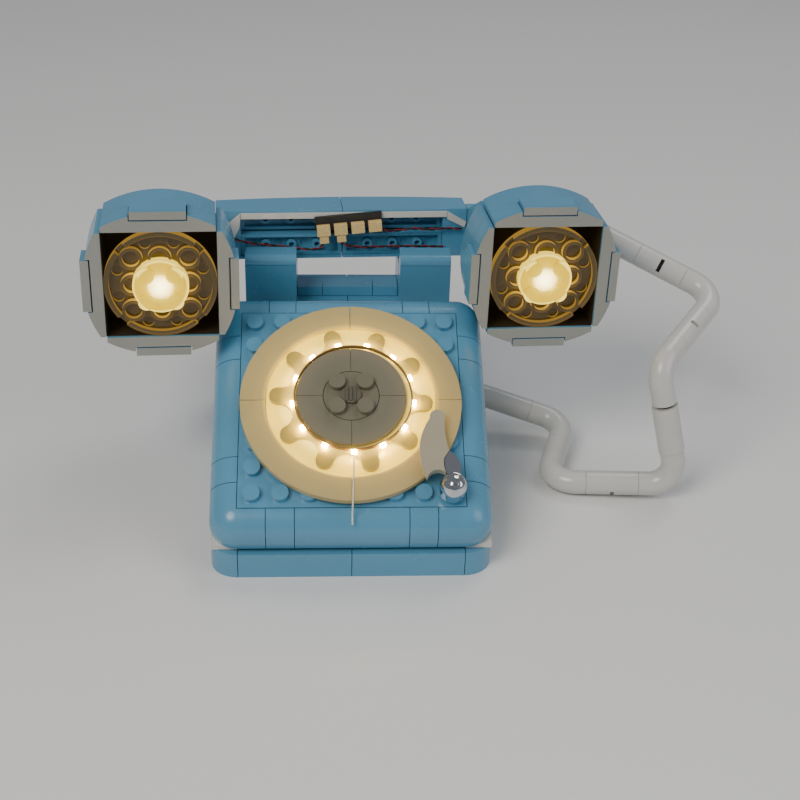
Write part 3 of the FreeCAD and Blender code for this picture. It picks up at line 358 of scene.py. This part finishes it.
# The dial ring's grey with the lamps' warm light painted into its colour.
RING_GREY_PAINTED_WARM = (0.48, 0.375, 0.160)
WARM_GLOW = (1.0, 0.66, 0.16)
# Painted shade: the dark brown of the tubes put inside the cups, where their insides lie in
# shade.
CUP_SHADE_BROWN = (0.030, 0.023, 0.012)


def make_materials():
    """One finished material for each of the record's slots, and for single nodes."""
    bowl_radius = 32 * MM
    hub_radius = 16 * MM
    # Painted glow for the ring, bowl, rotor lobes and hub: emission colours against distance
    # from the dial's middle, in place of the lamps' light.
    rim_glow = ((0.0, (1.0, 0.62, 0.04)), (0.765, (1.0, 0.62, 0.04)),
                (0.80, (0.26, 0.155, 0.008)), (0.90, (0.09, 0.052, 0.004)),
                (1.0, (0.03, 0.017, 0.002)))
    bowl_glow = ((0.49, BLACK), (0.53, (2.4, 1.7, 0.32)), (0.66, (1.1, 0.72, 0.05)),
                 (1.0, (1.1, 0.68, 0.03)))
    lobe_glow = ((0.49, BLACK), (0.52, (1.6, 1.1, 0.20)), (0.64, (0.30, 0.18, 0.012)),
                 (0.80, (0.10, 0.06, 0.003)))
    hub_glow = ((0.0, BLACK), (0.70, BLACK), (1.0, (0.10, 0.06, 0.02)))
    # Grey with the lamps' warm light painted in, for the hub; the hub plate and pins below
    # carry the same painted warm cast.
    grey_painted_warm = (0.190, 0.172, 0.115)
    # The finger-stop blade: metal whose tan base colour is a painted reflection of the
    # warm-lit ring beside it.
    blade_with_painted_ring_tint = moulded_tree("BladeSilver", (0.52, 0.46, 0.32), 0.30).set(Metallic=0.35).material
    return {
        "blue_brick": moulded("BlueBrick", BLUE),
        "white_brick": moulded("WhiteBrick", WHITE),
        "cup_trim": trim_plastic("CupTrim", (0.270, 0.275, 0.245), BLUE),
        "black_plastic": matt("BlackPlastic", (0.025, 0.025, 0.027)),
        "cell_steel": metal("CellSteel", (0.60, 0.60, 0.58), 0.25),
        # Dial parts: grey and white plastic whose base colours carry painted warm lamp
        # light; the rotor's white is also darkened as painted shade.
        "ring_grey": lit_plastic("RingGreyPaintedWarm", RING_GREY_PAINTED_WARM, 0.65, bowl_radius, rim_glow, 0.34),
        "rotor_white": lit_plastic("RotorWhitePaintedWarm", (0.34, 0.27, 0.075), 0.8, bowl_radius,
                                   lobe_glow),
        "dial_floor": lit_plastic("DialFloorPaintedWarm", (0.62, 0.47, 0.10), 1.5, bowl_radius,
                                  bowl_glow),
        "hub_grey": lit_plastic("HubGrey", grey_painted_warm, 0.5, hub_radius, hub_glow, 0.36),
        "dark_grey": moulded("HubPlateGrey", (0.175, 0.158, 0.106), 0.34),
        "pin_grey": moulded("PinGrey", (0.120, 0.108, 0.072), 0.35),
        "strip_white": matt("StripAmber", (0.26, 0.15, 0.045), 0.5),
        "lamp_glow": glowing("LampGlow", WARM_GLOW, 120.0),
        "cup_lamps": glowing("CupLampGlow", WARM_GLOW, 6.0),
        "lead_white": matt("LeadWhite", (0.78, 0.72, 0.58), 0.45),
        "knob_chrome": metal("KnobChrome", (0.62, 0.64, 0.67), 0.10),
        "blade_silver": blade_with_painted_ring_tint,
        "earpiece_lens": lens_plastic("EarpieceLens", middle_of("earpiece_disc")),
        "mouthpiece_lens": lens_plastic("MouthpieceLens", middle_of("mouthpiece_disc")),
        "earpiece_disc": disc_plastic("EarpieceDisc", middle_of("earpiece_disc")),
        "mouthpiece_disc": disc_plastic("MouthpieceDisc", middle_of("mouthpiece_disc")),
        "board_black": matt("BoardBlack", (0.012, 0.012, 0.014), 0.35),
        "socket_cream": matt("SocketCream", (0.78, 0.55, 0.22), 0.45),
        "wire_dark": matt("WireBlack", (0.012, 0.010, 0.012), 0.4),
        "wire_red": matt("WireRed", (0.20, 0.006, 0.012), 0.4),
        "tube_white": moulded("TubeWhite", (0.60, 0.58, 0.54), 0.22),
        # Painted shade inside the cups.
        "liner": matt("CupShadeBrown", CUP_SHADE_BROWN, 0.55),
    }


SOFT_EDGED = ("blue_brick", "white_brick", "cup_trim", "ring_grey", "hub_grey", "dark_grey",
              "pin_grey", "rotor_white", "black_plastic", "tube_white")


def dress_nodes(materials):
    """Gives every CAD node its material, and softens the edges of the moulded ones."""
    slots = {entry["node"]: entry["material_slot"] for entry in frame["record"]["subparts"]}
    for name, node in frame["nodes"].items():
        data = node.data
        data.materials.clear()
        data.materials.append(materials.get(name) or materials[slots[name]])
        if slots[name] in SOFT_EDGED:
            soften(node, 0.16 * MM)
        elif name == "stop_blade":
            soften(node, 0.7 * MM)


def soften(node, width):
    """Rounds a moulded piece's sharp edges by width."""
    flat = node.modifiers.new("MergeFlats", "DECIMATE")
    flat.decimate_type = "DISSOLVE"
    flat.angle_limit = math.radians(0.5)
    round_off = node.modifiers.new("RoundEdges", "BEVEL")
    round_off.width = width
    round_off.segments = 2
    round_off.limit_method = "ANGLE"
    round_off.angle_limit = math.radians(35)
    round_off.harden_normals = True


# ---------------------------------------------------------------- pieces on the handset

def new_piece(name, mesh, material, body):
    """A Blender-only piece that rides on a body and finishes as one of its slots."""
    piece = bpy.data.objects.new(name, mesh)
    mesh.materials.append(material)
    bpy.context.collection.objects.link(piece)
    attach(piece, body)
    return piece


def make_cup_shade_tube(name, side, material):
    """Painted shade for the inside of a cup: a dark brown thin square tube with a back
    plate, put where the cup's inside lies in shade.
    """
    outer, inner = 16.07 * MM, 16.0 * MM
    front, floor, back = -1.0 * MM, -14.13 * MM, -14.18 * MM
    build = bmesh.new()

    def ring(half, depth):
        return [build.verts.new((sx * half, sy * half, depth))
                for sx, sy in ((-1, -1), (1, -1), (1, 1), (-1, 1))]

    loops = [ring(outer, back), ring(outer, front), ring(inner, front), ring(inner, floor)]
    for low, high in zip(loops, loops[1:]):
        for index in range(4):
            after = (index + 1) % 4
            build.faces.new((low[index], low[after], high[after], high[index]))
    build.faces.new(loops[0])
    build.faces.new(loops[-1])
    bmesh.ops.recalc_face_normals(build, faces=build.faces)
    mesh = bpy.data.meshes.new(name)
    build.to_mesh(mesh)
    build.free()
    mesh.transform(cup_matrix(side))
    new_piece(name, mesh, material, "handset")


def centre_line(points):
    """Points along the smooth NURBS curve through a wire's route, in metres."""
    curve = bpy.data.curves.new("Route", "CURVE")
    curve.dimensions = "3D"
    curve.resolution_u = 24
    spline = curve.splines.new("NURBS")
    spline.points.add(len(points) - 1)
    for control, point in zip(spline.points, points):
        control.co = tuple(value * MM for value in point) + (1.0,)
    spline.order_u = 3
    spline.use_endpoint_u = True
    holder = bpy.data.objects.new("Route", curve)
    mesh = bpy.data.meshes.new_from_object(holder)
    line = [vertex.co.copy() for vertex in mesh.vertices]
    bpy.data.objects.remove(holder)
    bpy.data.curves.remove(curve)
    bpy.data.meshes.remove(mesh)
    return line


def strand(line, phase):
    """One insulated wire of a twisted pair: a tube wound about the line."""
    turn_length, radius, sides = 5.5 * MM, 0.24 * MM, 8
    build = bmesh.new()
    travelled = 0.0
    rings = []
    across = Vector((0.0, 0.0, 1.0))
    for index, point in enumerate(line):
        ahead = line[min(index + 1, len(line) - 1)] - line[max(index - 1, 0)]
        ahead.normalize()
        across = (across - ahead * across.dot(ahead)).normalized()
        other = ahead.cross(across)
        if index:
            travelled += (point - line[index - 1]).length
        angle = phase + 2 * math.pi * travelled / turn_length
        middle = point + (across * math.cos(angle) + other * math.sin(angle)) * radius
        rings.append([build.verts.new(middle + (across * math.cos(step) + other
                                                * math.sin(step)) * radius)
                      for step in (2 * math.pi * corner / sides for corner in range(sides))])
    for low, high in zip(rings, rings[1:]):
        for corner in range(sides):
            after = (corner + 1) % sides
            face = build.faces.new((low[corner], low[after], high[after], high[corner]))
            face.smooth = True
    build.faces.new(rings[0][::-1])
    build.faces.new(rings[-1])
    return build


def make_wires(materials):
    """Red and black twisted pairs from the cups to the little board on the handle."""
    near, plug = 41.2, 39.7
    routes = {
        "left": [(-35.6, near, -0.2), (-28.7, near, -2.4), (-21.4, near, -2.9),
                 (-13.5, near, -4.2), (-7.6, plug, -4.1), (-6.3, plug, -2.3)],
        "middle": [(-0.6, plug, -1.8), (2.4, plug, -3.4), (11.0, near, -3.9),
                   (20.2, near, -3.7), (32.2, near, -4.2)],
        "right": [(12.4, plug, 2.4), (15.6, near, 1.2), (21.8, near, 2.3), (27.9, near, 1.6),
                  (32.5, near, 2.2), (38.0, near, 1.8)]}
    for place, points in routes.items():
        line = centre_line(points)
        for colour, phase in (("red", 0.0), ("black", math.pi)):
            build = strand(line, phase)
            mesh = bpy.data.meshes.new("wire_%s_%s" % (place, colour))
            bmesh.ops.recalc_face_normals(build, faces=build.faces)
            build.to_mesh(mesh)
            build.free()
            mesh.transform(HANDLE)
            paint = materials["wire_red" if colour == "red" else "wire_dark"]
            wire = new_piece(mesh.name, mesh, paint, "handset")
            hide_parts("handset_leads")


make_camera()
make_studio()
finishes = make_materials()
dress_nodes(finishes)
for cup, way in (("earpiece", -1), ("mouthpiece", 1)):
    make_cup_shade_tube(cup + "_shade_tube", way, finishes["liner"])
make_wires(finishes)
